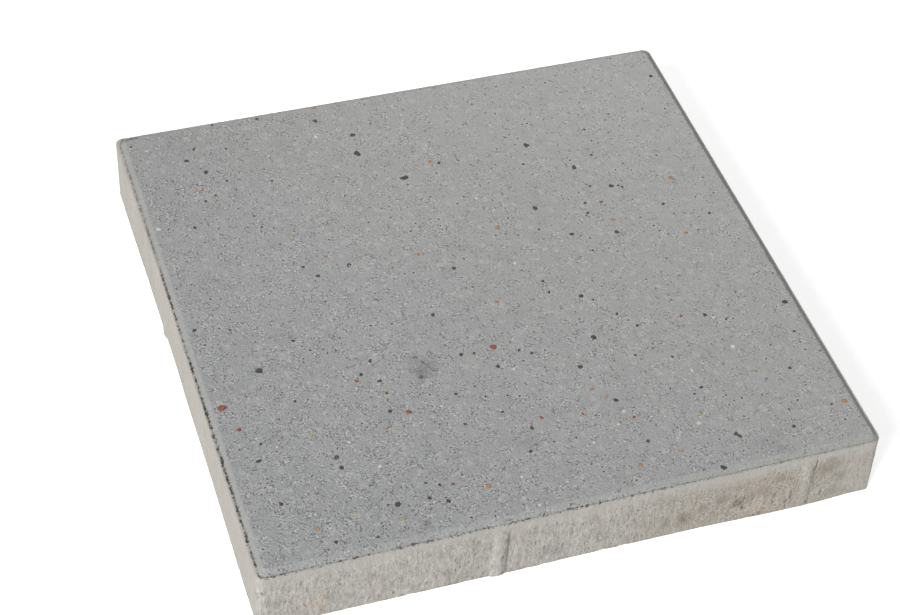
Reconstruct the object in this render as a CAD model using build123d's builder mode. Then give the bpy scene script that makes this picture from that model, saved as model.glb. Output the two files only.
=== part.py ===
from build123d import *
import os

# Square concrete paving slab with spacer nibs, cast in one piece and lying face up. Sizes are in millimetres.
# The origin is at the centre of the underside. +Z points up through the walking face.

# Slab
slab_side = 400.0
slab_thickness = 50.0
corner_radius = 5.0  # rounding of the upright corners

# Arris, the bevel round the walking face, with a narrow level ledge at its foot
ledge_width = 0.8  # from the side in to the foot of the bevel
arris_width = 3.0  # level, from the foot of the bevel in to the walking face
arris_drop = 3.0  # from the walking face down to the ledge
face_corner_radius = 2.5  # rounding of the walking face's own corners, inside the bevel
arris_softening = 1.5  # rounding where the bevel runs out into the walking face

# Spacer nibs, the tapered ribs that keep the joint between two slabs even
nibs_per_side = 2
nib_foot_width = 12.0
nib_foot_depth = 2.0  # how far the nib stands out from the side at the underside
nib_head_width = 9.0
nib_head_depth = 1.5
nib_below_face = 7.0  # from the walking face down to the tip
nib_tip_height = 6.0  # the length over which the head slopes back into the side
nib_tip_sink = 0.4  # how far the crest of the tip ends inside the side
nib_root = 4.0  # how far the nib's section reaches into the slab, to be one casting with it
nib_shoulder_radius = 8.0  # rounding of the crest where the head turns into the tip

# Outlines that follow from the sizes above
ledge_level = slab_thickness - arris_drop
arris_foot_side = slab_side - 2 * ledge_width
face_side = arris_foot_side - 2 * arris_width

# The nibs follow each other evenly, and those of a neighbouring slab come midway between them.
nib_pitch = slab_side / nibs_per_side
nib_shift = nib_pitch / 4
nib_tip_level = slab_thickness - nib_below_face
nib_head_level = nib_tip_level - nib_tip_height

# Sections of a nib from the foot to the tip: level, width, depth and how far the section is sunk into the side
nib_sections = (
    (0.0, nib_foot_width, nib_foot_depth, 0.0),
    (nib_head_level, nib_head_width, nib_head_depth, 0.0),
    (nib_tip_level, nib_head_width, nib_head_depth, nib_head_depth + nib_tip_sink),
)

# One nib, with the side of the slab at X = 0. Each section is a flat arc that looks along +X.
with BuildPart() as nib:
    for level, width, depth, sink in nib_sections:
        with BuildSketch(Plane.XY.offset(level)):
            with BuildLine():
                crest = ThreePointArc((-sink, -width / 2), (depth - sink, 0), (-sink, width / 2))
                Polyline(crest @ 1, (-nib_root, width / 2), (-nib_root, -width / 2), crest @ 0)
            make_face()
    loft(ruled=True)
    shoulder = nib.edges().filter_by(GeomType.CIRCLE).sort_by(Axis.Z)[1]
    fillet(shoulder, nib_shoulder_radius)

# The slab: its body up to the ledge, the bevelled head, and nibs on all four sides
with BuildPart() as paving_slab:
    with BuildSketch():
        RectangleRounded(slab_side, slab_side, corner_radius)
    extrude(amount=ledge_level)
    with BuildSketch(Plane.XY.offset(ledge_level)):
        RectangleRounded(arris_foot_side, arris_foot_side, corner_radius - ledge_width)
    with BuildSketch(Plane.XY.offset(slab_thickness)):
        RectangleRounded(face_side, face_side, face_corner_radius)
    loft(ruled=True)
    walking_face = paving_slab.faces().sort_by(Axis.Z)[-1]
    fillet(walking_face.edges(), arris_softening)
    with PolarLocations(slab_side / 2, 4):
        with Locations((0, nib_shift)):
            with GridLocations(nib_pitch, nib_pitch, 1, nibs_per_side):
                add(nib.part)

paving_slab.part.label = "paving_slab"
os.makedirs("parts", exist_ok=True)
export_step(paving_slab.part, "parts/paving_slab.step")
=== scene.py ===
import math
import random

import bmesh
import bpy
from mathutils import Matrix, Vector, noise


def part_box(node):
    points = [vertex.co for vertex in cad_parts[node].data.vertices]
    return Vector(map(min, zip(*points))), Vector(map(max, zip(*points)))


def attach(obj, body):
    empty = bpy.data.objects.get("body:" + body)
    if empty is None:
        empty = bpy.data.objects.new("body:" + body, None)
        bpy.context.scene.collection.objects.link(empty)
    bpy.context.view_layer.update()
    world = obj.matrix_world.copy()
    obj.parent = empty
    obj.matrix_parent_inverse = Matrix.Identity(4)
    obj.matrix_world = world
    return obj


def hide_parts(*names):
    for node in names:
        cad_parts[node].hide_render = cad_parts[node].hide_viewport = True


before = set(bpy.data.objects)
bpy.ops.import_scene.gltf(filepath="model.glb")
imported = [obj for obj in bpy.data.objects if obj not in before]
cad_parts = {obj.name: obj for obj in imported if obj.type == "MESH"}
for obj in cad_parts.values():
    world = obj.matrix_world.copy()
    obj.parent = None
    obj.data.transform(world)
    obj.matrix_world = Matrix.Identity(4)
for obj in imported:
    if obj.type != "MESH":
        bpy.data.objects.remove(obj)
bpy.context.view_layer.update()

MM = 0.001

# Sizes of the slab. The box of the solid holds the slab and, on all four sides, its nibs.
slab_low, slab_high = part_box("paving_slab")
NIB_FOOT_DEPTH = 2.0 * MM
HALF_SIDE = slab_high[0] - NIB_FOOT_DEPTH
THICKNESS = slab_high[2] - slab_low[2]
CORNER_RADIUS = 5.0 * MM
SHARP_CORNER_RADIUS = 3.0 * MM
SEAM_CORNER_RADIUS = 7.0 * MM
LEDGE_WIDTH = 0.8 * MM
ARRIS_WIDTH = 3.0 * MM
ARRIS_DROP = 3.0 * MM
ARRIS_SOFTENING = 0.9 * MM
FACE_CORNER_RADIUS = 5.0 * MM
FRONT_CORNER_SHARE = 0.62
NIB_FOOT_WIDTH = 12.0 * MM
NIB_HEAD_WIDTH = 9.0 * MM
NIB_HEAD_DEPTH = 1.5 * MM
NIB_BELOW_FACE = 7.0 * MM
NIB_TIP_HEIGHT = 6.0 * MM
NIB_TIP_SINK = 0.4 * MM
NIB_LEAST_HALF_WIDTH = 1.2 * MM
NIB_PITCH = 200.0 * MM
NIB_SHIFT = NIB_PITCH / 4
NIB_TIP_LEVEL = THICKNESS - NIB_BELOW_FACE
NIB_HEAD_LEVEL = NIB_TIP_LEVEL - NIB_TIP_HEIGHT

# The worn skin of the slab lies this far inside the solid, so that grit and burrs stay within its size.
WALL_INSET = 0.04 * MM
FACE_LEVEL = THICKNESS - 0.16 * MM
LEDGE_LEVEL = THICKNESS - ARRIS_DROP

# Spacing of the mesh
LINE_SPACING = 1.95 * MM
CORNER_LINES = 2
CORNER_LINE_STEP = 2.0 * MM
STRAIGHT_END = HALF_SIDE - CORNER_RADIUS
GRID_END = STRAIGHT_END + CORNER_LINES * CORNER_LINE_STEP
SQUEEZE_START = STRAIGHT_END - 6.0 * MM
NIB_LINES = (0.0, 0.42, 0.68, 0.87, 1.0, 1.08, 1.25, 1.55, 2.0)
UNDERSIDE_SEGMENTS = 84
WALL_TOP = LEDGE_LEVEL - 0.55 * MM
WALL_FOOT = 1.2 * MM
WALL_ROWS = 17
PIT_CUTS = 3
HAIR = 1e-9

# Pits and grit that are scattered by chance, beside those read from the photo
SCATTERED_PITS = 110
PIT_SEED = 4
GRIT_SEED = 11
# Lengths of the scattered grains, and what is added to a length read from the photo, in millimetres
SMALL_GRAIN = (0.7, 1.5)
GRAIN_RIM = 0.15
# A pit's depth against its radius, and the squares by which near pits and faces are found
PIT_DEPTH_SHARE = 0.9
PIT_CELL = 5 * MM
FACE_CELL = 4 * MM

# Light: place, size and power of each lamp, the world's strength on the object, and the floor
KEY_LIGHT = ((-3.9, -3.1, 3.4), 2.2, 322.0)
BACK_LIGHT = ((0.2, 1.6, 1.7), 1.0, 9.0)
WORLD_LIGHT = 0.34
FLOOR_SIZE = 6.0
FLOOR_WHITE = 0.86
FLOOR_GLOW = 0.55

# The photo's camera, worked out from the slab's edges, for a frame of 900 x 615 pixels
PHOTO_WIDTH = 900
PHOTO_HEIGHT = 615
CAMERA_AZIMUTH = math.radians(-20.594)
CAMERA_ELEVATION = math.radians(45.499)
CAMERA_ROLL = math.radians(3.819)
CAMERA_DISTANCE = 1.4796
CAMERA_TARGET = Vector((-0.00874, 0.02476, 0.0))
CAMERA_FOCUS_PIXELS = 2161.5
SENSOR_WIDTH = 36.0


def camera_axes():
    """The camera's place, and its right, up and backward directions."""
    level = math.cos(CAMERA_ELEVATION)
    back = Vector((
        math.sin(CAMERA_AZIMUTH) * level,
        -math.cos(CAMERA_AZIMUTH) * level,
        math.sin(CAMERA_ELEVATION),
    ))
    right = Vector((0, 0, 1)).cross(back).normalized()
    up = back.cross(right)
    turn = Matrix.Rotation(CAMERA_ROLL, 3, back)
    return CAMERA_TARGET + back * CAMERA_DISTANCE, turn @ right, turn @ up, back


def sight(pixel):
    """The camera's place, and the direction in which it sees a pixel of the photo."""
    place, right, up, back = camera_axes()
    across = (pixel[0] - PHOTO_WIDTH / 2) / CAMERA_FOCUS_PIXELS
    down = (pixel[1] - PHOTO_HEIGHT / 2) / CAMERA_FOCUS_PIXELS
    return place, right * across - up * down - back


def on_face(pixel):
    """The point of the walking face that the photo shows at a pixel."""
    place, ray = sight(pixel)
    return place + ray * ((FACE_LEVEL - place.z) / ray.z)


def on_front(pixel):
    """The point of the front side that the photo shows at a pixel."""
    place, ray = sight(pixel)
    return place + ray * ((-HALF_SIDE - place.y) / ray.y)


# Grit in the walking face, read from the photo as pixel and length in millimetres
RED_GRIT = (
    ((221, 408), 5.5), ((239, 430), 3.4), ((357, 381), 2.6), ((409, 412), 3.0), ((494, 347), 4.0),
    ((271, 292), 1.6), ((601, 202), 3.2), ((681, 316), 2.2), ((506, 129), 1.5), ((542, 418), 2.2),
    ((634, 417), 2.4), ((453, 484), 2.2), ((583, 414), 1.6),
)
AMBER_GRIT = (
    ((314, 108), 3.4), ((430, 162), 3.2), ((425, 131), 2.0), ((403, 110), 2.0), ((202, 190), 2.6),
    ((326, 257), 2.2), ((418, 254), 2.6), ((498, 227), 3.4), ((497, 302), 2.4), ((671, 178), 3.4),
    ((613, 220), 3.4), ((686, 233), 3.2), ((684, 213), 1.5), ((668, 295), 2.4), ((388, 428), 2.4),
    ((318, 529), 3.0), ((488, 486), 3.4), ((716, 326), 2.2), ((756, 371), 2.0), ((844, 401), 3.6),
    ((592, 389), 3.0), ((585, 415), 1.6), ((682, 451), 2.6), ((641, 465), 3.0),
)
BROWN_GRIT = (
    ((353, 135), 4.6), ((315, 121), 4.4), ((535, 208), 3.4), ((617, 232), 3.4), ((336, 542), 2.8),
    ((370, 361), 2.8), ((337, 457), 2.6), ((736, 434), 3.0), ((740, 436), 2.8), ((440, 485), 2.8),
    ((254, 216), 1.8), ((385, 393), 3.0), ((541, 417), 1.6),
)
STRAW_GRIT = (
    ((403, 518), 3.6), ((369, 134), 2.0), ((700, 413), 3.8), ((384, 393), 2.2), ((332, 509), 2.8),
    ((252, 215), 2.2), ((291, 236), 2.6), ((310, 435), 2.8), ((442, 486), 1.6), ((556, 168), 2.2),
    ((622, 286), 1.8), ((819, 378), 2.0), ((654, 377), 2.4), ((355, 513), 2.4), ((478, 360), 1.8),
)
# Dark grit. Some of the larger dark marks, such as the first, are open pits, where the dark stone is partly
# painted shade
DARK_GRIT_AND_PIT_SHADE = (
    ((260, 371), 4.2), ((398, 504), 3.8), ((429, 498), 2.8), ((449, 501), 2.8), ((526, 145), 3.8),
    ((574, 167), 3.6), ((591, 155), 2.4), ((651, 76), 3.4), ((357, 153), 4.6), ((439, 163), 2.8),
    ((404, 178), 4.4), ((187, 161), 3.8), ((206, 172), 3.0), ((349, 265), 3.4), ((303, 267), 2.8),
    ((318, 276), 2.6), ((454, 268), 3.4), ((433, 315), 2.9), ((195, 228), 2.8), ((611, 186), 3.2),
    ((572, 234), 3.0), ((581, 296), 3.4), ((705, 315), 2.6), ((785, 302), 3.6), ((543, 281), 2.4),
    ((549, 292), 2.2), ((663, 204), 2.2), ((709, 213), 2.2), ((593, 337), 3.4), ((498, 366), 2.8),
    ((580, 367), 2.7), ((790, 368), 2.4), ((616, 400), 2.6), ((532, 428), 2.8), ((794, 426), 3.2),
    ((648, 441), 2.4), ((723, 467), 2.8), ((531, 451), 2.5), ((701, 387), 2.6), ((361, 375), 2.2),
    ((380, 381), 2.8), ((390, 411), 2.8), ((461, 355), 2.5), ((259, 461), 2.8), ((261, 444), 2.2),
    ((342, 467), 2.6), ((281, 504), 2.8), ((230, 330), 2.2), ((195, 330), 3.0), ((293, 341), 2.2),
    ((295, 401), 2.2), ((523, 164), 2.2), ((622, 187), 2.0), ((590, 186), 2.0), ((585, 203), 2.2),
    ((588, 213), 2.2), ((257, 119), 2.8), ((194, 149), 2.6), ((227, 181), 2.2), ((272, 181), 2.4),
    ((206, 201), 2.2), ((212, 125), 2.0), ((131, 147), 1.8), ((248, 227), 1.4), ((262, 227), 1.6),
    ((274, 228), 1.6), ((637, 325), 2.4), ((617, 314), 2.2), ((635, 355), 2.0), ((474, 353), 1.8),
    ((519, 350), 1.8), ((532, 353), 2.0), ((465, 424), 1.8), ((456, 394), 1.8), ((502, 412), 1.8),
    ((426, 483), 1.8), ((378, 537), 2.2), ((832, 404), 1.9), ((726, 395), 1.4), ((789, 409), 1.5),
)
PALE_GRIT = (
    ((159, 229), 3.2), ((316, 137), 3.2), ((476, 198), 2.4), ((494, 210), 2.0), ((538, 117), 2.0),
    ((515, 263), 2.6), ((714, 317), 2.8), ((733, 346), 3.2), ((692, 370), 2.8), ((624, 411), 3.2),
    ((277, 447), 2.0), ((349, 442), 2.0), ((380, 466), 2.6), ((522, 477), 2.0), ((540, 505), 2.2),
    ((699, 423), 3.2), ((619, 424), 2.8), ((594, 442), 2.4), ((514, 369), 2.2), ((513, 339), 1.8),
    ((317, 152), 2.0), ((147, 151), 1.8), ((501, 410), 1.5), ((442, 406), 1.8),
)

# Open pits of the walking face, read in the same way: pixel, radius in millimetres
FACE_PITS = (
    ((484, 325), 1.4), ((442, 334), 1.5), ((474, 353), 1.2), ((511, 341), 1.3), ((527, 383), 1.6),
    ((336, 457), 1.6), ((342, 468), 1.5), ((306, 458), 1.2), ((320, 471), 1.0), ((318, 477), 0.9),
    ((345, 489), 0.9), ((339, 513), 1.1), ((410, 505), 1.3), ((393, 512), 1.1), ((406, 481), 0.9),
    ((613, 144), 0.9), ((616, 155), 1.0), ((595, 126), 0.9), ((566, 123), 1.4), ((656, 218), 1.1),
    ((640, 217), 0.9), ((664, 203), 1.2), ((755, 300), 1.2), ((684, 149), 0.9), ((247, 497), 1.2),
)
# Smudges: pixel, radius in millimetres, strength
SMUDGES = (
    ((425, 366), 12.0, 0.26), ((422, 374), 5.0, 0.34), ((421, 377), 2.4, 0.85), ((415, 357), 2.0, 0.60),
    ((430, 353), 3.0, 0.25), ((428, 523), 4.5, 0.40), ((530, 440), 9.0, 0.12), ((770, 442), 12.0, 0.14),
)
# Short dark strokes, a scratch by the large smudge and the painted shadow of a chip along the back left
# corner: ends, half width
STROKES = (((420, 360), (434, 371), 0.40), ((122, 141), (137, 138), 0.75))

# Brown stains and tan patches of the front side: pixel, radius in millimetres, strength
FRONT_STAINS = (
    ((737, 502), 6.5, 1.00), ((722, 499), 7.0, 0.60), ((829, 466), 11.0, 0.62), ((841, 475), 6.0, 0.45),
    ((781, 478), 6.0, 0.55), ((684, 518), 8.5, 0.66), ((702, 508), 7.0, 0.45), ((664, 524), 6.0, 0.40),
    ((831, 489), 6.0, 0.50), ((765, 490), 8.0, 0.45), ((600, 540), 1.6, 0.80), ((752, 495), 6.0, 0.50),
)
TAN_PATCHES = (
    ((316, 603), 9.0, 0.42), ((754, 508), 9.0, 0.34), ((778, 500), 7.0, 0.28), ((372, 588), 5.0, 0.20),
)


def clamped(value):
    return min(max(value, 0.0), 1.0)


def spread(value, low, high):
    """0 below low, 1 above high, and a smooth rise between them."""
    part = clamped((value - low) / (high - low))
    return part * part * (3 - 2 * part)


def ripple(point, size, lane=0.0):
    """Even noise between about -1 and 1, with bumps of that size. Each lane gives another pattern."""
    shift = Vector((lane * 17.3, lane * 5.1, lane * 9.7))
    return noise.noise(Vector((point[0], point[1], point[2])) / size + shift)


# Outline of the slab

def line_places():
    """Where the mesh's lines cross a side: close together round each nib and even elsewhere."""
    fixed = [-STRAIGHT_END]
    for quarters in (-3, -1, 1, 3):
        centre = quarters * NIB_SHIFT
        half = [part * NIB_FOOT_WIDTH / 2 for part in NIB_LINES]
        fixed += [centre - part for part in reversed(half[1:])] + [centre + part for part in half]
    fixed.append(STRAIGHT_END)
    places = []
    for start, end in zip(fixed, fixed[1:]):
        steps = max(1, round((end - start) / LINE_SPACING))
        places += [start + (end - start) * i / steps for i in range(steps)]
    places.append(STRAIGHT_END)
    corner = [STRAIGHT_END + CORNER_LINE_STEP * (i + 1) for i in range(CORNER_LINES)]
    return [-place for place in reversed(corner)] + places + corner


def squeezed(place, end):
    """A line's place where the outline is smaller than the grid, so that only the last lines move."""
    if abs(place) <= SQUEEZE_START:
        return place
    part = (abs(place) - SQUEEZE_START) / (GRID_END - SQUEEZE_START)
    return math.copysign(SQUEEZE_START + part * (end - SQUEEZE_START), place)


def outline_point(u, v, inset, radius):
    """The point of a rounded square, inset from the side, that belongs to the grid's edge point u, v."""
    half = HALF_SIDE - inset
    centre = half - radius
    on_x_side = abs(u) >= abs(v)
    along, across = (v, u) if on_x_side else (u, v)
    if abs(along) <= STRAIGHT_END + HAIR:
        part = squeezed(along, GRID_END)
        if abs(along) > SQUEEZE_START:
            share = (abs(along) - SQUEEZE_START) / (STRAIGHT_END - SQUEEZE_START)
            part = math.copysign(SQUEEZE_START + share * (centre - SQUEEZE_START), along)
        away = math.copysign(half, across)
    else:
        turn = (abs(along) - STRAIGHT_END) / (GRID_END - STRAIGHT_END) * math.pi / 4
        part = math.copysign(centre + radius * math.sin(turn), along)
        away = math.copysign(centre + radius * math.cos(turn), across)
    return (away, part) if on_x_side else (part, away)


def upright_radius(u, v, level):
    """How round the upright edge nearest to the point u, v is. The front right one gets sharper downwards."""
    share = spread(level, 4 * MM, LEDGE_LEVEL) if u > 0 > v else 1.0
    return SHARP_CORNER_RADIUS + share * (CORNER_RADIUS - SHARP_CORNER_RADIUS)


def corner_share(y):
    """How round the bevel's corners are, against the back ones."""
    return FRONT_CORNER_SHARE if y < 0 else 1.0


def outward(x, y):
    """The level direction that looks out of the slab at a point of its side."""
    dx = x - math.copysign(min(abs(x), STRAIGHT_END), x)
    dy = y - math.copysign(min(abs(y), STRAIGHT_END), y)
    length = math.hypot(dx, dy)
    return (dx / length, dy / length) if length > HAIR else (0.0, 0.0)


# Nibs

def along_side(x, y):
    """How far a point lies right of its side's middle, seen from outside, and if it is on a straight."""
    if abs(y) > abs(x):
        return (x if y < 0 else -x), abs(x) <= STRAIGHT_END
    return (y if x > 0 else -y), abs(y) <= STRAIGHT_END


def nib_size(level):
    """Width and depth of a nib at a level, and how far it is sunk into the side there."""
    if level >= NIB_HEAD_LEVEL:
        sink = (level - NIB_HEAD_LEVEL) / NIB_TIP_HEIGHT * (NIB_HEAD_DEPTH + NIB_TIP_SINK)
        return NIB_HEAD_WIDTH, NIB_HEAD_DEPTH, sink
    part = level / NIB_HEAD_LEVEL
    width = NIB_FOOT_WIDTH + part * (NIB_HEAD_WIDTH - NIB_FOOT_WIDTH)
    return width, NIB_FOOT_DEPTH + part * (NIB_HEAD_DEPTH - NIB_FOOT_DEPTH), 0.0


def lowness(level):
    """1 on the lower part of a nib, 0 on its upper part, and between them in between."""
    return 1 - spread(level, 8 * MM, 34 * MM)


def nib_reach(width, depth, sink, away, level, middle):
    """How far the nib stands out of the side at a place, counted to the right from its middle.

    The left flank is a slope, which starts sharply on a side's left nib and late on its right nib.
    The right flank drops to the crack.
    """
    low = lowness(level)
    if middle < 0:
        start = -width / 2 - 0.6 * MM
        rise = 0.40 * clamped((away - start) / (1.3 * MM))
        rise += 0.60 * clamped((away - start) / (4.8 * MM))
        crest = -0.2 * MM
    else:
        start = -(1.9 + 1.6 * low) * MM
        rise = clamped((away - start) / ((2.8 + 1.8 * low) * MM)) * (1 - 0.25 * low)
        crest = 1.6 * MM
    if away > crest:
        rise *= 1 - min((away - crest) / (crack_place(middle, level) - crest), 1.0) ** 2
    over = depth * rise - sink
    ease = 0.06 * MM
    return (over + math.hypot(over, ease) - ease) / 2 if over > -2 * ease else 0.0


def shown_half_width(width, depth, sink):
    """Half the width of the nib where it leaves the side."""
    radius = (width * width / 4 + depth * depth) / (2 * depth)
    chord = radius - depth + sink
    return math.sqrt(max(radius * radius - chord * chord, 0.0))


def foot_lean(along):
    """How far the foot of the front side leans out, in millimetres. It leans most round the right nib."""
    beside_left_nib = 0.45 * (1 - spread(abs(along + 32 * MM), 8 * MM, 28 * MM))
    round_right_nib = 1.2 * spread(along, 75 * MM, 140 * MM) * (1 - spread(along, 157 * MM, 190 * MM))
    return 0.55 + beside_left_nib + round_right_nib


def side_swell(x, y, level):
    """How far a side stands out beyond its plane. The left one was pressed about a millimetre wider."""
    nx, ny = outward(x, y)
    left = 0.95 + 0.85 * spread(y, 60 * MM, 190 * MM) + 0.50 * spread(-y, 60 * MM, 170 * MM)
    left -= 0.35 * (1 - spread(abs(y - 25 * MM), 8 * MM, 30 * MM))
    front = foot_lean(x) * max(1 - level / LEDGE_LEVEL, 0.0)
    return (left * max(-nx, 0) + 0.40 * max(nx, 0) + front * max(-ny, 0)) * MM


def crack_place(middle, level):
    """Where the crack runs down a nib's right flank. The right nib of each side was pressed wider."""
    part = level / NIB_TIP_LEVEL
    return (3.9 + 1.0 * part) * MM if middle < 0 else (6.1 + 1.1 * part) * MM


def nib_crack(along, level, middle, away):
    """How open the crack is, from 0 to 1: the left nib's most near the foot, the right nib's near the tip."""
    if abs(away) > 10 * MM:
        return 0.0
    strength = 0.48 + 0.20 * lowness(level) if middle < 0 else 0.80 * spread(level, 20 * MM, 40 * MM) + 0.12
    torn = 0.85 + 0.5 * ripple((along, level, 0), 12 * MM, 12)
    reach = spread(level, 0.5 * MM, 4 * MM)
    reach *= 1 - spread(level, NIB_TIP_LEVEL - 2.5 * MM, NIB_TIP_LEVEL - 0.5 * MM)
    return strength * reach * min(max(torn, 0.4), 1.0)


def nib_near(along):
    """The middle of the nib whose lines reach this place of a side, or nothing."""
    reach = NIB_LINES[-1] * NIB_FOOT_WIDTH / 2
    for middle in (NIB_SHIFT - NIB_PITCH / 2, NIB_SHIFT + NIB_PITCH / 2):
        if abs(along - middle) <= reach + HAIR:
            return middle
    return None


def nib_shift(along, middle, level):
    """The line's new place along the side, so that it follows the nib's tapering edge."""
    width, depth, sink = nib_size(level)
    edge = NIB_FOOT_WIDTH / 2
    target = max(shown_half_width(width, depth, sink), NIB_LEAST_HALF_WIDTH)
    reach = NIB_LINES[-1] * edge
    away = abs(along - middle)
    if away <= edge:
        moved = away * target / edge
    else:
        moved = target + (away - edge) * (reach - target) / (reach - edge)
    return middle + math.copysign(moved, along - middle)


# Relief

def side_roughness(x, y):
    """How rough each side is: the front and right have drag marks and pits, and the left is nearly smooth."""
    nx, ny = outward(x, y)
    front, back, left, right = max(-ny, 0), max(ny, 0), max(-nx, 0), max(nx, 0)
    return 1.0 * front + 0.8 * back + 0.35 * left + 0.9 * right


def face_relief(x, y):
    """Gentle waves and grain of the walking face. It never rises above its own level by more than a hair."""
    point = (x, y, 0)
    waves = 0.06 * ripple(point, 70 * MM, 1) + 0.035 * ripple(point, 14 * MM, 2)
    grain = 0.03 * ripple(point, 4 * MM, 3) + 0.02 * ripple(point, 2.2 * MM, 4)
    return (waves + grain - 0.03) * MM


def side_relief(x, y, z):
    """Waves, upright drag marks and shallow hollows of a side, outwards."""
    rough = side_roughness(x, y)
    drag = ripple((x, y, z * 0.12), 3.4 * MM, 5) * 0.10 + ripple((x, y, z * 0.08), 9 * MM, 6) * 0.09
    waves = 0.12 * ripple((x, y, z), 45 * MM, 7)
    grain = 0.07 * ripple((x, y, z), 2.6 * MM, 8)
    hollow = spread(ripple((x, y, z), 5 * MM, 9), 0.38, 0.7) * 0.45
    return (waves + rough * (drag + grain - hollow) - 0.06) * MM


def seam_opening(x, y):
    """How wide the torn seam at the foot of the bevel is open, from 0 to 1. It is worst on the left side."""
    nx, ny = outward(x, y)
    share = 1.0 * max(-nx, 0) + 0.75 * max(-ny, 0) + 0.3 * max(nx, 0) + 0.3 * max(ny, 0)
    torn = 0.35 + 0.9 * ripple((x, y, 0), 9 * MM, 10) + 0.8 * ripple((x, y, 0), 3 * MM, 11)
    return share * clamped(torn)


def side_point(x, y, level, inset):
    """A point of the side at a level, with its nib and its relief."""
    along, straight = along_side(x, y)
    nx, ny = outward(x, y)
    reach = 0.0
    middle = nib_near(along) if straight else None
    if middle is not None and level < NIB_TIP_LEVEL:
        moved = nib_shift(along, middle, level)
        step = moved - along
        # To the right, seen from outside, is the outward direction turned by a quarter
        x, y = x - ny * step, y + nx * step
        reach = nib_reach(*nib_size(level), moved - middle, level, middle)
        # The left side's front nib is all but lost in the swell
        reach *= 1 - 0.75 * max(-nx, 0) * (1 if y < 0 else 0)
    relief = side_relief(x, y, level) * (1 - 0.5 * spread(reach, 0, 1.5 * MM))
    relief *= 0.35 + 0.65 * spread(level, 0.0, 5 * MM)
    swell = side_swell(x, y, level) * (1 - max(reach, 0) / NIB_FOOT_DEPTH)
    out = min(reach + swell + relief, NIB_FOOT_DEPTH - 0.06 * MM) - WALL_INSET - inset
    return Vector((x + nx * out, y + ny * out, level))


def slab_mesh(pits):
    """The whole slab as one closed mesh: a grid for the walking face, then rings down to the underside."""
    places = line_places()
    count = len(places)
    bm = bmesh.new()
    u_of = bm.verts.layers.float.new("u")
    v_of = bm.verts.layers.float.new("v")
    crack_of = bm.verts.layers.float.new("crack")
    crack_away_of = bm.verts.layers.float.new("crack_away")
    bmesh.ops.create_grid(bm, x_segments=count - 1, y_segments=count - 1, size=1.0)
    face_end = HALF_SIDE - LEDGE_WIDTH - ARRIS_WIDTH - ARRIS_SOFTENING
    for vert in bm.verts:
        column = round((vert.co.x + 1) / 2 * (count - 1))
        row = round((vert.co.y + 1) / 2 * (count - 1))
        vert[u_of], vert[v_of] = places[column], places[row]
        vert.co = (squeezed(places[column], face_end), squeezed(places[row], face_end), FACE_LEVEL)
    rim = [edge for edge in bm.edges if edge.is_boundary]
    face_inset = HALF_SIDE - face_end
    for vert in verts_of(rim):
        radius = FACE_CORNER_RADIUS * corner_share(vert[v_of])
        x, y = outline_point(vert[u_of], vert[v_of], face_inset, radius)
        vert.co = (x, y, FACE_LEVEL)

    refine_round_pits(bm, pits)
    dig_pits(bm, pits)

    arris_rings = (
        # inset from the side, level and corner radius, from the walking face down to the seam
        (face_inset - 0.55 * ARRIS_SOFTENING, FACE_LEVEL - 0.06 * MM, 5.1 * MM),
        (face_inset - 1.0 * ARRIS_SOFTENING, FACE_LEVEL - 0.28 * MM, 5.3 * MM),
        (LEDGE_WIDTH + 2.1 * MM, FACE_LEVEL - 1.0 * MM, 5.8 * MM),
        (LEDGE_WIDTH + 1.1 * MM, LEDGE_LEVEL + 1.05 * MM, 6.4 * MM),
        (LEDGE_WIDTH + 0.5 * MM, LEDGE_LEVEL + 0.42 * MM, 6.7 * MM),
    )
    # inset and rise in millimetres
    ledge_rings = ((0.40, 0.08), (0.12, -0.08))
    foot_rings = ((0.03, 0.30), (0.22, 0.07), (1.6, 0.02))
    layers = (u_of, v_of)
    edges = rim
    for ring in arris_rings:
        edges = ring_below(bm, edges, layers, arris_point, ring)
    edges = ring_below(bm, edges, layers, seam_point, ())
    for ring in ledge_rings:
        edges = ring_below(bm, edges, layers, ledge_point, ring)
    for i in range(WALL_ROWS + 1):
        level = WALL_TOP + (WALL_FOOT - WALL_TOP) * i / WALL_ROWS
        edges = ring_below(bm, edges, layers, wall_point, (level,))
        for vert in verts_of(edges):
            vert[crack_of], vert[crack_away_of] = crack_at(vert[u_of], vert[v_of], level)
    for ring in foot_rings:
        edges = ring_below(bm, edges, layers, foot_point, ring)
    close_underside(bm, edges)
    bmesh.ops.recalc_face_normals(bm, faces=bm.faces)
    # The later layer goes first, because removing one renumbers those after it
    for layer in (v_of, u_of):
        bm.verts.layers.float.remove(layer)
    return bm


def verts_of(edges):
    return {vert for edge in edges for vert in edge.verts}


def ring_below(bm, edges, layers, place, ring):
    """Extrudes a ring of edges, puts each new point where place says, and gives the new ring."""
    made = bmesh.ops.extrude_edge_only(bm, edges=edges)["geom"]
    verts = {item for item in made if isinstance(item, bmesh.types.BMVert)}
    u_of, v_of = layers
    for vert in verts:
        vert.co = place(vert[u_of], vert[v_of], *ring)
    return [item for item in made if isinstance(item, bmesh.types.BMEdge) and set(item.verts) <= verts]


def arris_point(u, v, inset, level, radius):
    """A point of the bevel, a little worn."""
    x, y = outline_point(u, v, inset, radius * corner_share(v))
    nx, ny = outward(x, y)
    wear = 0.10 * ripple((x, y, level), 12 * MM, 13) + 0.06 * ripple((x, y, level), 3.5 * MM, 14)
    drop = (wear - 0.05) * MM
    # The bevel of the right side stands as far out as that side does
    near_side = 1 - (inset - LEDGE_WIDTH) / (ARRIS_WIDTH + ARRIS_SOFTENING)
    out = drop + side_swell(x, y, LEDGE_LEVEL) * max(nx, 0) * near_side
    return Vector((x + nx * out, y + ny * out, level + min(drop, 0)))


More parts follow.
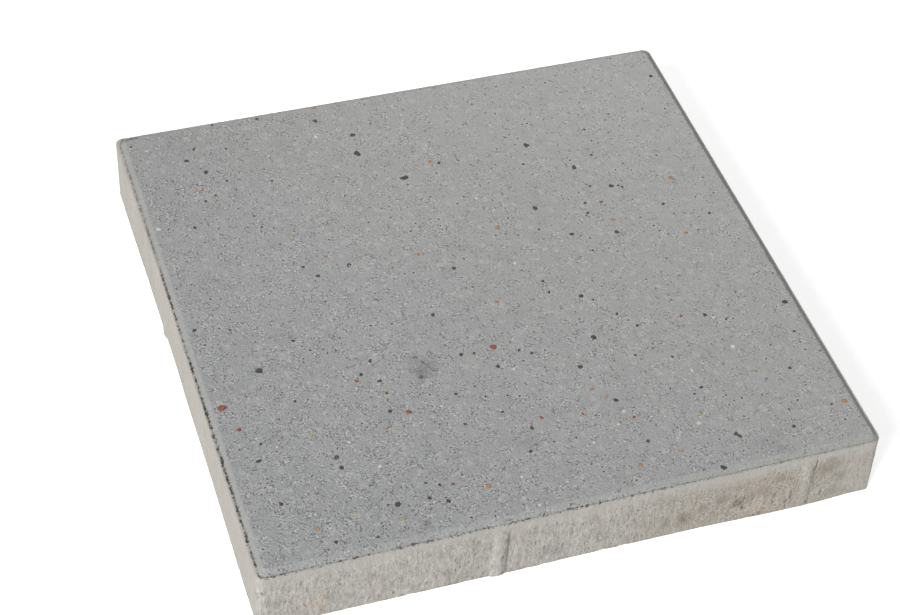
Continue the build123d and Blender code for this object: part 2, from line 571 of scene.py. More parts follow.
def seam_point(u, v):
    """The torn groove between the bevel and the ledge."""
    x, y = outline_point(u, v, LEDGE_WIDTH, SEAM_CORNER_RADIUS * corner_share(v))
    opening = seam_opening(x, y)
    nx, ny = outward(x, y)
    wander = 0.15 * ripple((x, y, 0), 6 * MM, 15)
    wander = (wander + 0.25 * max(-ny, 0) + 0.35 * max(nx, 0) - 0.15 * max(-nx, 0)) * MM
    return Vector((x + nx * wander, y + ny * wander, LEDGE_LEVEL - (0.1 + 0.75 * opening) * MM))


def ledge_point(u, v, inset, rise):
    """The narrow ledge, which is a burr in some places and worn away in others."""
    x, y = outline_point(u, v, inset * MM, CORNER_RADIUS)
    burr = 0.16 * ripple((x, y, 0), 5 * MM, 16) + 0.1 * ripple((x, y, 0), 2.4 * MM, 17)
    nx, ny = outward(x, y)
    out = min(0.1 * ripple((x, y, 0), 4 * MM, 18), 0.05) * MM - WALL_INSET
    out += side_swell(x, y, LEDGE_LEVEL) * (1 if inset < 0.2 else 0.35)
    return Vector((x + nx * out, y + ny * out, LEDGE_LEVEL + (rise + burr) * MM))


def wall_point(u, v, level):
    x, y = outline_point(u, v, 0.0, upright_radius(u, v, level))
    return side_point(x, y, level, 0.0)


def crack_at(u, v, level):
    """How open a nib's crack is at a point of the side, and how far right of the crack the point lies."""
    x, y = outline_point(u, v, 0.0, upright_radius(u, v, level))
    along, straight = along_side(x, y)
    middle = nib_near(along) if straight else None
    if middle is None:
        return 0.0, 8.0
    away = nib_shift(along, middle, level) - middle if level < NIB_TIP_LEVEL else along - middle
    nx, _ = outward(x, y)
    # The right nib's crack is drawn a little finer
    scale = 1.0 if middle < 0 else 1.25
    # The left side has no cracks
    opening = nib_crack(along, level, middle, away) * (1 - max(-nx, 0))
    return opening, (away - crack_place(middle, level)) / MM * scale


def foot_point(u, v, inset, level):
    """The crumbled lower edge."""
    x, y = outline_point(u, v, 0.0, upright_radius(u, v, 0.0))
    crumble = max(ripple((x, y, 0), 7 * MM, 19) - 0.3, 0) * 1.4
    crumble += max(ripple((x, y, 0), 2.5 * MM, 20), 0) * 0.05
    point = side_point(x, y, level * MM, (inset + crumble) * MM)
    point.z = max(level + crumble * 0.25, 0.0) * MM if level > 0.05 else 0.0
    return point


def finish_number(point):
    """Which finish a face has: 0 on the walking face and its bevel, 1 on the sides and 2 underneath."""
    radius = SEAM_CORNER_RADIUS * corner_share(point.y) + LEDGE_WIDTH
    over_x, over_y = abs(point.x) - HALF_SIDE + radius, abs(point.y) - HALF_SIDE + radius
    inset = radius - math.hypot(max(over_x, 0.0), max(over_y, 0.0)) - min(max(over_x, over_y), 0.0)
    if point.z > LEDGE_LEVEL - 1.5 * MM and inset > LEDGE_WIDTH + 0.02 * MM:
        return 0
    return 2 if point.z < 2 * MM and inset > 1.3 * MM else 1


def close_underside(bm, edges):
    """A coarser grid for the underside, bridged to the last ring."""
    before = set(bm.verts)
    size = HALF_SIDE - 8 * MM
    bmesh.ops.create_grid(bm, x_segments=UNDERSIDE_SEGMENTS, y_segments=UNDERSIDE_SEGMENTS, size=size)
    own = {vert for vert in bm.verts if vert not in before}
    for vert in own:
        hollow = 0.16 + 0.14 * ripple(vert.co, 16 * MM, 21) + 0.12 * ripple(vert.co, 5.5 * MM, 22)
        pocket = spread(ripple(vert.co, 9 * MM, 23), 0.45, 0.75) * 0.8
        vert.co.z = max(hollow + pocket, 0.0) * MM
    inner = [edge for edge in bm.edges if edge.is_boundary and own.issuperset(edge.verts)]
    bmesh.ops.bridge_loops(bm, edges=edges + inner)


def cell_of(point, size):
    return round(point.x / size), round(point.y / size)


def sorted_into_cells(items, size):
    """Sorts items into square cells, by the place that each item starts with."""
    cells = {}
    for item in items:
        cells.setdefault(cell_of(item[0], size), []).append(item)
    return cells


def near_items(cells, point, size):
    """The items in the cell of a point and in the eight cells round it."""
    column, row = cell_of(point, size)
    for across in (column - 1, column, column + 1):
        for along in (row - 1, row, row + 1):
            yield from cells.get((across, along), ())


def refine_round_pits(bm, pits):
    """Divides the grid round each pit, so that its wall and floor have enough faces."""
    cells = sorted_into_cells([(face.calc_center_median(), face) for face in bm.faces], FACE_CELL)
    near = set()
    for centre, radius, _, _ in pits:
        reach = radius + 1.1 * MM
        for middle, face in near_items(cells, centre, FACE_CELL):
            if math.hypot(middle.x - centre.x, middle.y - centre.y) < reach:
                near.update(face.edges)
    # The edges go in the mesh's own order, which is the same in each run
    near = [edge for edge in bm.edges if edge in near and not edge.is_boundary]
    bmesh.ops.subdivide_edges(bm, edges=near, cuts=PIT_CUTS, use_grid_fill=True)


def dig_pits(bm, pits):
    """Gives the walking face its relief and sinks each pit into it."""
    cells = sorted_into_cells(pits, PIT_CELL)
    for vert in bm.verts:
        x, y = vert.co.x, vert.co.y
        sink = 0.0
        for centre, radius, depth, turn in near_items(cells, vert.co, PIT_CELL):
            dx, dy = x - centre.x, y - centre.y
            along = dx * math.cos(turn) + dy * math.sin(turn)
            across = dy * math.cos(turn) - dx * math.sin(turn)
            away = math.hypot(along, across * 1.35) * (1 + 0.25 * ripple((x, y, 0), 1.6 * MM, 24))
            sink = max(sink, depth * (1 - spread(away, radius * 0.35, radius)))
        vert.co.z = FACE_LEVEL + face_relief(x, y) - sink


# Grit

def add_grain(bm, rim_of, centre, length, draw, subdivisions, proud):
    """One stone of the grit: an uneven pebble bedded in the face, with broken corners and a worn top."""
    half = length * 0.76
    wide = half * draw.uniform(0.60, 0.85)
    matrix = (
        Matrix.Translation((centre.x, centre.y, FACE_LEVEL - 0.15 * length))
        @ Matrix.Rotation(draw.uniform(0, math.tau), 4, "Z")
        @ Matrix.Diagonal((half, wide, length * 0.34, 1))
    )
    made = bmesh.ops.create_icosphere(bm, subdivisions=subdivisions, radius=1.0, matrix=matrix)["verts"]
    breaks = [(draw.uniform(0, math.tau), draw.uniform(0.60, 0.95) * wide) for _ in range(4)]
    lane = draw.uniform(0, 50)
    top = FACE_LEVEL + face_relief(centre.x, centre.y) + proud * MM
    for vert in made:
        dent = 1 + 0.45 * ripple(vert.co, max(length * 0.5, 0.4 * MM), lane)
        away = Vector((vert.co.x - centre.x, vert.co.y - centre.y)) * dent
        vert[rim_of] = min(away.length / half, 1.0)
        for turn, limit in breaks:
            facing = Vector((math.cos(turn), math.sin(turn)))
            away -= facing * max(away.dot(facing) - limit, 0.0)
        vert.co.x, vert.co.y = centre.x + away.x, centre.y + away.y
        vert.co.z = min(vert.co.z, top + 0.02 * MM * ripple(vert.co, 0.8 * MM, 25))


def grit_piece(name, finish, grains, scattered, seed, proud):
    """One colour of grit as a piece: the grains read from the photo, and small ones scattered by chance."""
    draw = random.Random(seed)
    bm = bmesh.new()
    rim_of = bm.verts.layers.float.new("rim")
    for pixel, length in grains:
        add_grain(bm, rim_of, on_face(pixel), (length + GRAIN_RIM) * MM, draw, 2, proud)
    room = HALF_SIDE - 6 * MM
    for _ in range(scattered):
        spot = Vector((draw.uniform(-room, room), draw.uniform(-room, room), 0))
        add_grain(bm, rim_of, spot, draw.uniform(*SMALL_GRAIN) * MM, draw, 1, proud)
    return finished(name, bm, finish)


def finished(name, bm, *finishes):
    """Makes an object of a mesh, in its place, with its finishes, and joins it to the slab's body."""
    for face in bm.faces:
        face.smooth = True
    mesh = bpy.data.meshes.new(name)
    bm.to_mesh(mesh)
    bm.free()
    for finish in finishes:
        mesh.materials.append(finish)
    piece = bpy.data.objects.new(name, mesh)
    bpy.context.scene.collection.objects.link(piece)
    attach(piece, "root")
    return piece


# Finishes

def srgb(red, green, blue):
    """A colour written as it shows on a screen, from 0 to 255, as the linear values that a shader takes."""
    def linear(value):
        value /= 255
        return value / 12.92 if value <= 0.04045 else ((value + 0.055) / 1.055) ** 2.4
    return (linear(red), linear(green), linear(blue), 1.0)


class Value:
    """A number that varies over a surface. Used in an expression, it adds the Math nodes for it."""

    def __init__(self, nodes, socket):
        self.nodes = nodes
        self.socket = socket

    def math(self, operation, *others):
        inputs = dict(enumerate((self, *others)))
        return self.nodes.node("ShaderNodeMath", {"operation": operation}, inputs)

    def __add__(self, other):
        return self.math("ADD", other)

    __radd__ = __add__

    def __sub__(self, other):
        return self.math("SUBTRACT", other)

    def __rsub__(self, other):
        return -self + other

    def __mul__(self, other):
        return self.math("MULTIPLY", other)

    __rmul__ = __mul__

    def __neg__(self):
        return self * -1.0

    def at_least(self, other):
        return self.math("MAXIMUM", other)

    def at_most(self, other):
        return self.math("MINIMUM", other)

    def size(self):
        return self.math("ABSOLUTE")

    def above(self, low, high):
        """0 below low, 1 above high, with a smooth rise between."""
        inputs = {"Value": self, "From Min": low, "From Max": high}
        return self.nodes.node("ShaderNodeMapRange", {"interpolation_type": "SMOOTHSTEP"}, inputs)

    def below(self, low, high):
        return 1 - self.above(low, high)


class NodeTree:
    """A tree of shader nodes, which are added one by one."""

    def __init__(self, tree):
        self.tree = tree

    def node(self, kind, settings, inputs, output=0):
        """Adds a node, sets its settings, then its sockets, and gives one of its outputs."""
        node = self.tree.nodes.new(kind)
        for name, value in settings.items():
            setattr(node, name, value)
        for name, value in inputs.items():
            self.feed(node.inputs[name], value)
        return Value(self, node.outputs[output])

    def feed(self, socket, value):
        if isinstance(value, Value):
            self.tree.links.new(value.socket, socket)
        else:
            socket.default_value = value

    def parts(self, vector):
        """The X, Y and Z of a vector."""
        first = self.node("ShaderNodeSeparateXYZ", {}, {0: vector})
        return [Value(self, socket) for socket in first.socket.node.outputs]

    def mix(self, share, first, second):
        """Two colours mixed by a share from 0 to 1."""
        return self.node("ShaderNodeMix", {"data_type": "RGBA"}, {0: share, 6: first, 7: second}, 2)

    def shown(self):
        """1 where the camera looks, also by way of gloss or glass, and 0 for what lights the object."""
        kinds = ("Camera", "Glossy", "Transmission")
        rays = [self.node("ShaderNodeLightPath", {}, {}, f"Is {kind} Ray") for kind in kinds]
        return (rays[0] + rays[1] + rays[2]).at_most(1.0)


class Finish(NodeTree):
    """A material, with the patterns that its finish is drawn from."""

    def __init__(self, name):
        self.material = bpy.data.materials.new(name)
        self.material.use_nodes = True
        super().__init__(self.material.node_tree)
        self.shader = self.tree.nodes["Principled BSDF"]
        self.place = self.node("ShaderNodeTexCoord", {}, {}, "Object")

    def stretched(self, stretch):
        """The place on the piece, stretched."""
        return self.node("ShaderNodeMapping", {}, {"Vector": self.place, "Scale": stretch})

    def noise(self, size, detail, rough, where=None):
        """Even noise from 0 to 1 with blotches of that size in metres."""
        inputs = {"Vector": where or self.place, "Scale": 1 / size, "Detail": detail, "Roughness": rough}
        return self.node("ShaderNodeTexNoise", {}, inputs)

    def attribute(self, name):
        """A number that the mesh carries for each of its points."""
        return self.node("ShaderNodeAttribute", {"attribute_name": name}, {}, "Fac")

    def warped(self, amount, size, where=None):
        """The place, pushed about by noise of that size, so that what is drawn there has uneven edges."""
        where = where or self.place
        push = self.node("ShaderNodeTexNoise", {}, {"Vector": where, "Scale": 1 / size, "Detail": 2.0}, 1)
        push = self.node("ShaderNodeVectorMath", {"operation": "SUBTRACT"}, {0: push, 1: (0.5, 0.5, 0.5)})
        push = self.node("ShaderNodeVectorMath", {"operation": "SCALE"}, {0: push, "Scale": amount})
        return self.node("ShaderNodeVectorMath", {"operation": "ADD"}, {0: where, 1: push})

    def away(self, spot):
        """The distance from a spot on the piece."""
        return self.node("ShaderNodeVectorMath", {"operation": "DISTANCE"}, {0: self.place, 1: spot}, "Value")

    def cells(self, size, where=None):
        """Cells of that size in metres: the distance to a cell's middle, and three numbers for each cell."""
        inputs = {"Vector": where or self.place, "Scale": 1 / size}
        distance = self.node("ShaderNodeTexVoronoi", {}, inputs)
        return distance, self.parts(Value(self, distance.socket.node.outputs["Color"]))

    def tinted(self, colour, factor):
        """A colour made lighter or darker by a factor."""
        colour = colour[:3] if isinstance(colour, tuple) else colour
        return self.node("ShaderNodeVectorMath", {"operation": "SCALE"}, {0: colour, "Scale": factor})

    def done(self, colour, roughness, height, depth):
        """Feeds the shader: colour, roughness and a bump whose height is in metres."""
        self.feed(self.shader.inputs["Base Color"], colour)
        self.feed(self.shader.inputs["Roughness"], roughness)
        bump = self.node("ShaderNodeBump", {}, {"Height": height, "Distance": depth, "Strength": 1.0})
        self.feed(self.shader.inputs["Normal"], bump)
        return self.material


def inset_of(f):
    """Distance in from the slab's outline, in metres, rounded at the corners as the seam is."""
    x, y, _ = f.parts(f.place)
    radius = SEAM_CORNER_RADIUS * (1 - (1 - FRONT_CORNER_SHARE) * (-y).above(-MM, MM)) + LEDGE_WIDTH
    over_x = x.size() - (HALF_SIDE - radius)
    over_y = y.size() - (HALF_SIDE - radius)
    out_x, out_y = over_x.at_least(0.0), over_y.at_least(0.0)
    corner = (out_x * out_x + out_y * out_y).math("SQRT")
    return radius - (corner + over_x.at_least(over_y).at_most(0.0))


def side_shares(f):
    """How far a place belongs to the front side and to the left side, from 0 to 1."""
    x, y, _ = f.parts(f.place)
    front = (-y).above(HALF_SIDE - 6 * MM, HALF_SIDE - 2 * MM)
    return front, (-x).above(HALF_SIDE - 6 * MM, HALF_SIDE - 2 * MM) * (1 - front)


def seam_and_groove_shade(f, inset, front, left, sand):
    """The dark torn seam at the foot of the bevel, partly real and partly painted shade of its groove: long
    tears on the left, dashes and dots on the front, and the painted shadow of a chip at the back left corner.
    """
    x, y, _ = f.parts(f.place)
    tears = f.noise(7.0 * MM, 3, 0.8).above(0.42, 0.60)
    dots = f.noise(2.6 * MM, 1, 0.6).above(0.53, 0.64)
    right_half = x.above(0.02, 0.09) * front
    back_half = y.above(-0.02, 0.12) * left
    back_left = (-x).above(HALF_SIDE - 42 * MM, HALF_SIDE - 28 * MM)
    back_left = back_left * y.above(HALF_SIDE - 8 * MM, HALF_SIDE - 4 * MM)
    away = (inset - (0.40 + 0.45 * left) * MM + sand * (3.6 * MM)).size()
    tear_half = left * tears * (0.50 - 0.22 * back_half)
    dot_half = dots * (0.58 - 0.32 * left - 0.40 * right_half)
    line = (away - (0.06 + tear_half + dot_half) * MM).below(0.0, 0.40 * MM)
    strength = 0.34 + 0.66 * (tears * (left + back_left).at_most(1.0) + dots).at_most(1.0)
    strength = strength.at_least(right_half * 0.62)
    shown = 0.16 + 0.84 * left * (1 - 0.42 * back_half) + (0.64 - 0.20 * right_half) * front + 0.6 * back_left
    return line * strength * shown.at_most(1.0)


def face_finish():
    """The walking face and its bevel: smooth paste with patches of open sand, pores and short cracks."""
    f = Finish("concrete_walking_face")
    x, y, z = f.parts(f.place)
    inset = inset_of(f)
    front, left = side_shares(f)
    cloud = f.noise(40 * MM, 2, 0.55) - 0.5
    patch = f.noise(12 * MM, 3, 0.6) - 0.5
    lumps = f.noise(3.4 * MM, 2, 0.6) - 0.5
    sand = f.noise(1.35 * MM, 2, 0.75) - 0.5

    # The bevel is smooth and pale on the left and on the right half of the front, and sandy elsewhere
    front_right = front * x.above(0.0, 0.08)
    bevel_edge = LEDGE_WIDTH + ARRIS_WIDTH + (0.3 + 2.3 * left - 0.6 * front + 1.2 * front_right) * MM
    smooth = (inset + sand * (4.0 * MM) + lumps * (4.5 * MM) - bevel_edge).below(-0.8 * MM, 1.2 * MM)
    smooth = smooth * (1 - 0.70 * front + 0.65 * front_right)

    # Darker and coarser towards the front left corner, with patches where the sand lies open
    coarse = (x * -2.0 + y * -1.6).above(-0.75, 0.75)
    back_left = (y * 3.0 - x * 3.0).above(0.55, 1.10)
    rough_patch = (patch + cloud * 0.5).above(-0.06, 0.12)
    open_sand = (f.noise(6.5 * MM, 2, 0.65) + 0.05 * coarse + 0.05 * rough_patch).above(0.50, 0.60)
    contrast = 0.62 + 0.46 * coarse + 0.18 * rough_patch + 0.15 * back_left
    grain_size = sand * (0.16 + 0.32 * coarse + 1.45 * open_sand)
    # Painted light: the face is made a little lighter towards the back right, standing in for the sheen of
    # the light there
    back_right_painted_sheen = (x * 3.0 + y * 3.0).above(0.35, 1.00)
    back_rim = y.above(HALF_SIDE - 7 * MM, HALF_SIDE - 4 * MM)
    tone = 1.02 - 0.07 * back_left + 0.035 * back_right_painted_sheen - 0.022 * coarse - 0.04 * back_rim
    tone = tone + 0.12 * cloud + 0.28 * patch
    tone = tone + contrast * (lumps * (0.28 + 0.34 * open_sand) + grain_size)
    face_colour = f.tinted(f.mix(coarse, srgb(165, 165, 163), srgb(155, 156, 156)), tone)
    # Painted shade in the hollows of the open sand and painted glints on its tops, following the same noise
    # as the bump
    painted_hollow_shade = (-sand).above(0.10, 0.19) * open_sand
    painted_glints = sand.above(0.10, 0.20) * open_sand
    face_colour = f.mix(painted_hollow_shade * contrast * 0.66, face_colour, srgb(92, 92, 91))
    face_colour = f.mix(painted_glints * contrast * 0.50, face_colour, srgb(206, 206, 203))

    # Pores of different sizes, pale blotches, and dots, flecks and short cracks of the sand. The pores and
    # short cracks are real hollows, and their dark colour is partly painted shade
    pore_far, pore_draw = f.cells(5.6 * MM, f.warped(2.2 * MM, 2.2 * MM))
    blotch = (pore_far + sand * 0.5).below(0.10, 0.55) * pore_draw[2].above(0.80, 0.84)
    shaded_pore = (pore_far - 0.04 - 0.11 * pore_draw[1] * pore_draw[1]).below(-0.03, 0.04)
    shaded_pore = shaded_pore * (pore_draw[0] + 0.10 * rough_patch + 0.06 * coarse).above(0.62, 0.66)
    where = f.warped(1.3 * MM, 1.4 * MM)
    dot_far, dot_draw = f.cells(2.1 * MM, where)
    dot = dot_far.below(0.18, 0.36) * (dot_draw[0] + 0.12 * coarse + 0.12 * rough_patch).above(0.87, 0.91)
    fleck = dot_far.below(0.18, 0.40) * (dot_draw[1] + 0.12 * rough_patch + 0.06 * coarse).above(0.87, 0.91)
    grain_cells = {"Vector": where, "Scale": 1 / (2.7 * MM)}
    rims = f.node("ShaderNodeTexVoronoi", {"feature": "DISTANCE_TO_EDGE"}, grain_cells)
    shaded_arc_pit = rims.below(0.03, 0.13) * lumps.above(0.035, 0.10) * (0.20 + 0.80 * open_sand)
    face_colour = f.mix(blotch * 0.36, face_colour, srgb(192, 192, 188))
    face_colour = f.mix(shaded_arc_pit * (0.36 + 0.22 * coarse), face_colour, srgb(76, 76, 74))
    grouped = 0.40 + 0.50 * open_sand + 0.10 * coarse
    face_colour = f.mix(dot * grouped * 0.90, face_colour, srgb(80, 81, 80))
    face_colour = f.mix(fleck * grouped * 0.75, face_colour, srgb(210, 210, 207))
    face_colour = f.mix(shaded_pore * (0.40 + 0.56 * pore_draw[2]), face_colour, srgb(56, 56, 55))

    # Bevel, darkest on the right, where it faces away from the light
    bevel_tone = 1.0 + 0.12 * cloud + 0.18 * patch + 0.26 * lumps + (0.40 + 0.30 * front) * sand
    right = x.above(HALF_SIDE - 8 * MM, HALF_SIDE - 4 * MM) * (1 - front)
    right = right * (1 - 0.35 * (-y).above(0.10, 0.17))
    bevel_colour = f.mix(left, srgb(156, 156, 153), srgb(149, 150, 148))
    bevel_colour = f.tinted(f.mix(right, bevel_colour, srgb(132, 132, 131)), bevel_tone)
    # Dark marks of the bevel: dots, and pores and short cracks whose darkness is partly painted shade
    open_marks = (dot + shaded_arc_pit + shaded_pore).at_most(1.0) * (0.15 + 0.30 * front)
    bevel_colour = f.mix(open_marks, bevel_colour, srgb(84, 83, 81))
    colour = f.mix(smooth, face_colour, bevel_colour)

    # Smudges, the scratch and the chip's painted shadow
    for pixel, radius, strength in SMUDGES:
        ragged = patch * (0.8 * radius * MM) + lumps * (0.7 * radius * MM)
        dirt = (f.away(on_face(pixel)) + ragged).below(0.2 * radius * MM, 1.3 * radius * MM)
        colour = f.mix(dirt * strength, colour, srgb(76, 79, 78))
    for start, end, half in STROKES:
        stroke = stroke_share(f, sand, on_face(start), on_face(end), half * MM)
        colour = f.mix(stroke * 0.65, colour, srgb(66, 65, 63))

    # The seam's dark line, partly painted shade of its groove
    seam_and_its_shade = seam_and_groove_shade(f, inset, front, left, sand) * z.below(LEDGE_LEVEL + 0.9 * MM, LEDGE_LEVEL + 1.8 * MM)
    colour = f.mix(seam_and_its_shade * 0.96, colour, srgb(44, 38, 34))
    height = (contrast * (0.55 * lumps + 0.60 * sand) - 0.40 * shaded_pore - 0.22 * shaded_arc_pit) * (1 - 0.65 * smooth)
    return f.done(colour, 0.88 - 0.08 * smooth + 0.10 * sand, height, 1.0 * MM)


def stroke_share(f, sand, start, end, half):
    """A short dark stroke between two points of the face."""
    along = (end - start).normalized()
    from_start = f.node("ShaderNodeVectorMath", {"operation": "SUBTRACT"}, {0: f.place, 1: start})
    gone = f.node("ShaderNodeVectorMath", {"operation": "DOT_PRODUCT"}, {0: from_start, 1: along}, "Value")
    beside = {0: from_start, 1: Vector((-along.y, along.x, 0))}
    across = f.node("ShaderNodeVectorMath", {"operation": "DOT_PRODUCT"}, beside, "Value")
    length = (end - start).length
    inside = gone.above(0, MM) * gone.below(length, length + MM)
    return (across + sand * (2.0 * MM)).size().below(half - 0.25 * MM, half + 0.25 * MM) * inside


def side_finish():
    """The sides: warm paste with short upright drag marks, brown and mottled at the right of the front."""
    f = Finish("concrete_sides")
    x, y, z = f.parts(f.place)
    inset = inset_of(f)
    front, left = side_shares(f)
    cloud = f.noise(40 * MM, 1, 0.55) - 0.5
    patch = f.noise(12 * MM, 3, 0.6) - 0.5
    sand = f.noise(1.4 * MM, 2, 0.75) - 0.5
    mottle = f.noise(4.5 * MM, 3, 0.65) - 0.5
    drag = f.noise(1.9 * MM, 2, 0.65, f.stretched((1, 1, 0.30))) - 0.5
    band = f.noise(13 * MM, 1, 0.5, f.stretched((1, 1, 0.12))) - 0.5

    worn = (z + patch * (18 * MM)).below(LEDGE_LEVEL - 13 * MM, LEDGE_LEVEL - 4 * MM)
    right_end = x.above(0.160, 0.180) * front
    rough = (1 - 0.72 * left) * (0.35 + 0.65 * worn) * (1 - 0.3 * right_end)
    brown = x.above(-0.01, 0.09) * (1 - 0.55 * x.above(0.15, 0.19)) * front * worn
    tone = 1.0 + 0.14 * band + 0.16 * patch + 0.08 * cloud + 0.035 * (1 - worn) * front + 0.03 * right_end
    grain_tone = (1.10 - 0.40 * brown) * drag + (0.75 + 0.45 * brown) * mottle + (1.05 + 1.5 * brown) * sand
    tone = tone + rough * grain_tone
    base = f.mix(left, srgb(173, 170, 164), srgb(171, 167, 160))
    base = f.mix(brown * (0.45 + patch * 1.6).at_least(0.0).at_most(1.0) * 0.60, base, srgb(152, 137, 118))
    colour = f.tinted(base, tone)
    mark_far, mark_draw = f.cells(3.0 * MM, f.warped(1.6 * MM, 2.0 * MM, f.stretched((1, 1, 0.42))))
    mark = (mark_far - 0.20 * mark_draw[1]).below(0.05, 0.20) * mark_draw[0].above(0.58, 0.64) * rough
    grain = mark_far.below(0.10, 0.34) * mark_draw[2].above(0.86, 0.90) * rough
    colour = f.mix(mark * 0.50, colour, srgb(82, 77, 70))
    colour = f.mix(grain * 0.42, colour, srgb(214, 211, 203))
    specks = mottle + sand * 0.7
    colour = f.mix(specks.above(0.09, 0.17) * brown * 0.50, colour, srgb(108, 92, 76))
    colour = f.mix((-specks).above(0.10, 0.20) * brown * 0.35, colour, srgb(204, 197, 184))
    blush = (patch + mottle * 0.3).above(0.0, 0.14) * front
    colour = f.mix(blush * 0.22, colour, srgb(158, 142, 131))

    # Brown stains, faint tan patches, and a darker brown band along the lower edge, darkest near the front of
    # the left side
    ragged = patch * (9 * MM) + mottle * (16 * MM) + sand * (12 * MM)
    broken = 0.22 + 0.90 * (mottle * 0.7 + sand).above(-0.05, 0.07)
    for pixel, radius, strength in FRONT_STAINS:
        stain = (f.away(on_front(pixel)) + ragged).below(radius * 0.25 * MM, radius * 1.10 * MM)
        colour = f.mix(stain * strength * broken, colour, srgb(104, 88, 70))
    for pixel, radius, strength in TAN_PATCHES:
        tan = (f.away(on_front(pixel)) + ragged).below(radius * 0.1 * MM, radius * 1.2 * MM)
        colour = f.mix(tan * strength * broken, colour, srgb(194, 164, 136))
    near_corner = left * (-y).above(0.150, 0.160) * y.above(-0.192, -0.180)
    lower_edge_band = (z + mottle * (5 * MM)).below(0.3 * MM, 2.5 * MM) * (0.20 + 0.50 * left + 1.3 * near_corner)
    colour = f.mix(lower_edge_band * 0.5, colour, f.mix(near_corner, srgb(150, 124, 98), srgb(92, 74, 58)))

    # A painted highlight on the ledge of the front part of the right side, where it faces up into the light,
    # and the torn seam, partly painted shade of its groove
    rim = x.above(HALF_SIDE - 1.4 * MM, HALF_SIDE - 1.0 * MM) * (-y).above(0.04, 0.13)
    rim = rim * (1 - front) * (z + mottle * MM).above(LEDGE_LEVEL - 1.2 * MM, LEDGE_LEVEL - 0.5 * MM)
    colour = f.mix(rim * 0.75, colour, srgb(208, 208, 205))
    seam_and_its_shade = seam_and_groove_shade(f, inset, front, left, sand) * z.above(LEDGE_LEVEL - 1.4 * MM, LEDGE_LEVEL - 0.9 * MM)
    colour = f.mix(seam_and_its_shade * 0.96, colour, srgb(44, 38, 34))

    # Nibs: a painted highlight on the left flank, which faces the light, painted shade on the strip before
    # the crack, which faces away from it, the crack's dark line, partly painted shade, and its pale lip
    crack = f.attribute("crack")
    crack_away = f.attribute("crack_away")
    crack_away = crack_away + sand * 1.4 + mottle * 0.9
    on_nib = z.below(33 * MM, 40 * MM) * z.above(0.5 * MM, 3 * MM) * (1 - left)
    painted_flank_highlight = crack_away.above(-10.0, -9.3) * crack_away.below(-4.8, -2.6) * on_nib
    colour = f.mix(painted_flank_highlight * 0.12, colour, srgb(214, 210, 201))
    painted_flank_shade = crack_away.above(-3.5, -0.8) * crack_away.below(-0.4, 0.2) * on_nib
    colour = f.mix(painted_flank_shade * 0.12, colour, srgb(112, 104, 96))
    line = crack_away.size().below(0.18, 0.72) * crack
    lip = (crack_away - 1.3).size().below(0.3, 0.8) * crack
    colour = f.mix(lip * 0.30, colour, srgb(204, 200, 192))
    colour = f.mix(line * 0.88, colour, srgb(74, 60, 53))

    height = rough * ((0.70 - 0.30 * brown) * drag + 0.60 * mottle + 0.60 * sand - 0.30 * mark) - 0.25 * line
    return f.done(colour, 0.88 + 0.08 * sand, height, 1.0 * MM)


def underside_finish():
    """The underside, as the pallet left it: even, dull and a little open."""
    f = Finish("concrete_underside")
    patch = f.noise(14 * MM, 3, 0.6) - 0.5
    mottle = f.noise(4.5 * MM, 3, 0.65) - 0.5
    sand = f.noise(1.4 * MM, 2, 0.75) - 0.5
    pore_far, pore_draw = f.cells(7.0 * MM, f.warped(2.0 * MM, 2.4 * MM))
    # Pores: real hollows, whose dark colour is partly painted shade
    shaded_pore = (pore_far - 0.04 - 0.14 * pore_draw[1]).below(-0.03, 0.05) * pore_draw[0].above(0.66, 0.70)
    tone = 0.95 + 0.45 * mottle + 0.7 * sand + 0.35 * patch
    colour = f.mix(shaded_pore * 0.6, f.tinted(srgb(156, 154, 149), tone), srgb(76, 74, 70))
    height = 0.6 * mottle + 0.5 * sand - 0.5 * shaded_pore
    return f.done(colour, 0.90, height, 1.0 * MM)


def grit_finish(name, colour, shade):
    """A stone of the grit: its own colour, with darker and lighter spots."""
    f = Finish(name)
    spots = f.noise(0.9 * MM, 3, 0.6)
    whole = f.noise(9 * MM, 1, 0.5)
    share = (spots * 1.2 + whole * 0.8 - 0.6).above(0.0, 1.0)
    mixed = f.mix(share, srgb(*colour), srgb(*shade))
    rim = f.attribute("rim")
    mixed = f.mix((rim + spots * 0.5).above(0.80, 1.15) * 0.55, mixed, srgb(70, 64, 60))
    return f.done(mixed, 0.55 + 0.25 * spots, spots, 0.12 * MM)


# The object

def face_pits():
    """Centre, radius, depth and turn of each pit of the walking face, those of the photo first."""
    draw = random.Random(PIT_SEED)
    pits = []
    for pixel, radius in FACE_PITS:
        pits.append((on_face(pixel), radius * MM, PIT_DEPTH_SHARE * radius * MM, draw.uniform(0, math.pi)))
    room = HALF_SIDE - 9 * MM
    for _ in range(SCATTERED_PITS):
        spot = Vector((draw.uniform(-room, room), draw.uniform(-room, room), FACE_LEVEL))
        radius = draw.uniform(0.5, 1.0) * MM
        pits.append((spot, radius, PIT_DEPTH_SHARE * radius, draw.uniform(0, math.pi)))
    return pits


cast = slab_mesh(face_pits())
for face in cast.faces:
    face.material_index = finish_number(face.calc_center_median())
slab = finished("paving_slab_cast", cast, face_finish(), side_finish(), underside_finish())
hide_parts("paving_slab")

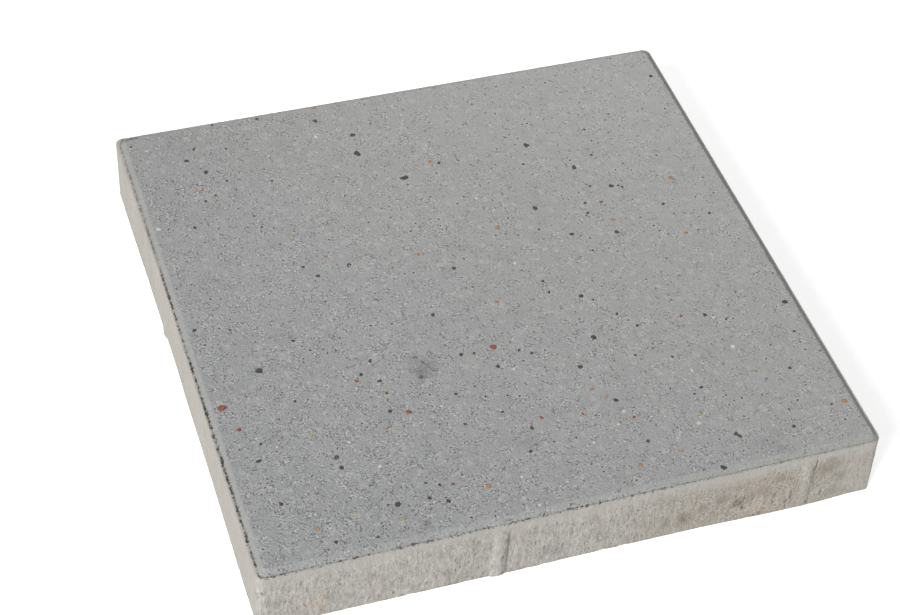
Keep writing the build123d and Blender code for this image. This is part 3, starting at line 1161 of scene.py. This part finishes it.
GRIT = (
    # name, colour, other shade, grains read from the photo, how many are scattered, height in millimetres
    ("grit_red", (150, 82, 60), (112, 62, 48), RED_GRIT, 8, 0.07),
    ("grit_amber", (174, 132, 96), (138, 105, 79), AMBER_GRIT, 24, 0.06),
    ("grit_brown", (82, 68, 55), (55, 48, 43), BROWN_GRIT, 40, 0.05),
    ("grit_straw", (166, 159, 128), (134, 126, 102), STRAW_GRIT, 60, 0.06),
    # Dark grit, partly painted shade where it stands for open pits
    ("grit_dark_and_pit_shade", (60, 61, 59), (42, 43, 43), DARK_GRIT_AND_PIT_SHADE, 260, 0.03),
    ("grit_pale", (206, 205, 200), (184, 182, 176), PALE_GRIT, 110, 0.07),
)
for index, (name, colour, shade, grains, scattered, proud) in enumerate(GRIT):
    grit_piece(name, grit_finish(name + "_stone", colour, shade), grains, scattered, GRIT_SEED + index, proud)


# Studio: pale floor, soft light from the front left and a weak one from above and behind

def studio_floor():
    bm = bmesh.new()
    bmesh.ops.create_grid(bm, x_segments=1, y_segments=1, size=FLOOR_SIZE)
    mesh = bpy.data.meshes.new("studio_floor")
    bm.to_mesh(mesh)
    bm.free()
    f = Finish("studio_floor_white")
    f.feed(f.shader.inputs["Base Color"], (FLOOR_WHITE, FLOOR_WHITE, FLOOR_WHITE, 1))
    f.feed(f.shader.inputs["Roughness"], 0.9)
    f.feed(f.shader.inputs["Specular IOR Level"], 0.1)
    glow = f.mix(f.shown(), (0, 0, 0, 1), (FLOOR_GLOW, FLOOR_GLOW, FLOOR_GLOW, 1))
    f.feed(f.shader.inputs["Emission Color"], glow)
    f.feed(f.shader.inputs["Emission Strength"], 1.0)
    mesh.materials.append(f.material)
    floor = bpy.data.objects.new("studio_floor", mesh)
    bpy.context.scene.collection.objects.link(floor)


def studio_lamp(name, place, size, power):
    lamp = bpy.data.lights.new(name, "AREA")
    lamp.shape = "DISK"
    lamp.size = size
    lamp.energy = power
    holder = bpy.data.objects.new(name, lamp)
    turn = Vector(place).to_track_quat("Z", "Y").to_matrix().to_4x4()
    holder.matrix_world = Matrix.Translation(place) @ turn
    bpy.context.scene.collection.objects.link(holder)


def studio_world():
    """A white surround for the camera, and a weak even light for the object."""
    world = bpy.data.worlds.new("studio_world")
    world.use_nodes = True
    surround = NodeTree(world.node_tree)
    background = world.node_tree.nodes["Background"]
    surround.feed(background.inputs["Strength"], surround.shown() * (1.0 - WORLD_LIGHT) + WORLD_LIGHT)
    background.inputs["Color"].default_value = (1, 1, 1, 1)
    bpy.context.scene.world = world


studio_floor()
studio_world()
studio_lamp("key_lamp", *KEY_LIGHT)
studio_lamp("back_lamp", *BACK_LIGHT)


def photo_camera():
    """The camera at the photo's place, turned as the photo was taken."""
    place, right, up, back = camera_axes()
    camera = bpy.data.cameras.new("photo_camera")
    camera.sensor_fit = "HORIZONTAL"
    camera.sensor_width = SENSOR_WIDTH
    camera.lens = SENSOR_WIDTH * CAMERA_FOCUS_PIXELS / PHOTO_WIDTH
    camera.clip_start = 0.05
    camera.clip_end = 50.0
    holder = bpy.data.objects.new("photo_camera", camera)
    turn = Matrix((right, up, back)).transposed().to_4x4()
    holder.matrix_world = Matrix.Translation(place) @ turn
    bpy.context.scene.collection.objects.link(holder)
    bpy.context.scene.camera = holder


photo_camera()
bpy.context.scene.view_settings.view_transform = "Standard"

bpy.context.view_layer.update()
